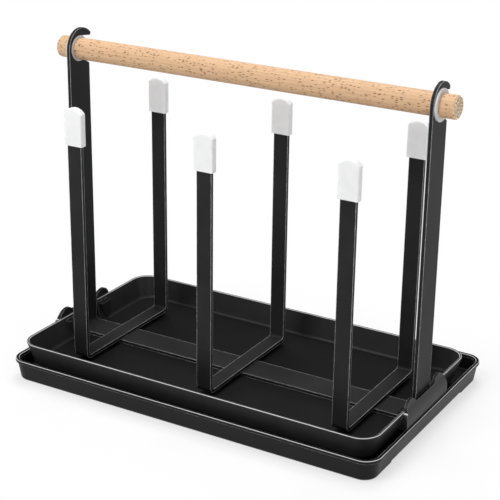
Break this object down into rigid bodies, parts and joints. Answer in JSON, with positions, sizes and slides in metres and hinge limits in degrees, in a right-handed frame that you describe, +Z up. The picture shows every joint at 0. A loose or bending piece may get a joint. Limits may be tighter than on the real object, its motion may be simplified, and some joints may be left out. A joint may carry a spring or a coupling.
{
  "type": "bottle drying rack",
  "caption": "Free-standing bottle drying rack: black bent flat-bar frame with capped posts and a wooden handle bar, standing in a removable drip tray hung inside a wider tray.",
  "frame": {"origin": "middle of the outer tray's footprint, on the surface that it stands on", "axes": "+Z up, X along the handle and the trays' long sides, -Y towards the side that the picture shows as front"},
  "size_m": [0.356, 0.215, 0.2821],
  "materials": {
    "tray_plastic": "satin black moulded plastic",
    "powder_coat": "black powder coat on flat steel bar",
    "milky_plastic": "soft translucent milky plastic",
    "beech": "sanded beech, unvarnished"
  },
  "bodies": {
    "root": {"outer_tray": "tray_plastic", "inner_tray": "tray_plastic", "base_bar": "powder_coat", "cross_bar_left": "powder_coat", "cross_bar_middle": "powder_coat", "cross_bar_right": "powder_coat", "post_cap_front_left": "milky_plastic", "post_cap_front_middle": "milky_plastic", "post_cap_front_right": "milky_plastic", "post_cap_rear_left": "milky_plastic", "post_cap_rear_middle": "milky_plastic", "post_cap_rear_right": "milky_plastic", "handle_rod": "beech", "handle_bush_left": "milky_plastic", "handle_bush_right": "milky_plastic"}
  },
  "joints": []
}
